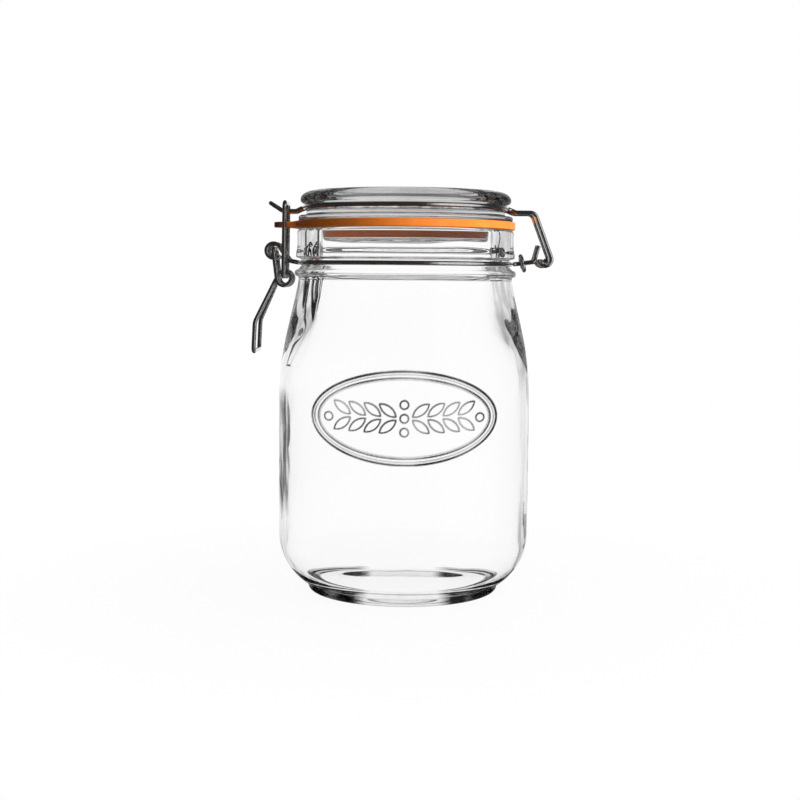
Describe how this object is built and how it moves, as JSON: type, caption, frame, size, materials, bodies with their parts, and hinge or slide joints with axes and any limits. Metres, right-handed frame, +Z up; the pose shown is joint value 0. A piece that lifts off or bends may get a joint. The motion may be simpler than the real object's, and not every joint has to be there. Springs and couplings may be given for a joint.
{
  "type": "clip-top jar",
  "caption": "Round glass jar with a hinged glass lid, an orange rubber seal and a steel wire clasp that clips it shut.",
  "frame": {"origin": "on the jar's axis, at the surface that the foot stands on", "axes": "+Z up the jar, the clasp towards -X, the hinge towards +X, the raised ornament towards -Y"},
  "size_m": [0.1303, 0.1104, 0.1744],
  "materials": {
    "glass": "clear pressed glass, smooth",
    "rubber": "matte orange rubber, slightly translucent",
    "steel": "drawn steel wire, lightly polished"
  },
  "bodies": {
    "jar_body": {"jar": "glass", "neck_wire_near": "steel", "neck_wire_far": "steel", "hinge_tie": "steel"},
    "lid_body": {"lid": "glass", "lid_wire": "steel", "seal": "rubber"},
    "lever": {"lever": "steel"},
    "latch": {"latch": "steel"}
  },
  "joints": [
    {"name": "lid_hinge", "type": "hinge", "parent": "jar_body", "child": "lid_body", "pos_m": [0.0604, 0, 0.1451], "axis": [0, 1, 0], "range_deg": [0, 120]},
    {"name": "lever_pivot", "type": "hinge", "parent": "jar_body", "child": "lever", "pos_m": [-0.0572, 0, 0.1494], "axis": [0, 1, 0], "range_deg": [0, 90]},
    {"name": "latch_pivot", "type": "hinge", "parent": "lever", "child": "latch", "pos_m": [-0.0526, 0, 0.1374], "axis": [0, 1, 0], "range_deg": [-60, 0]}
  ],
  "couplings": [
    {"joint": "latch_pivot", "follows": "lever_pivot", "ratio": -0.633}
  ]
}
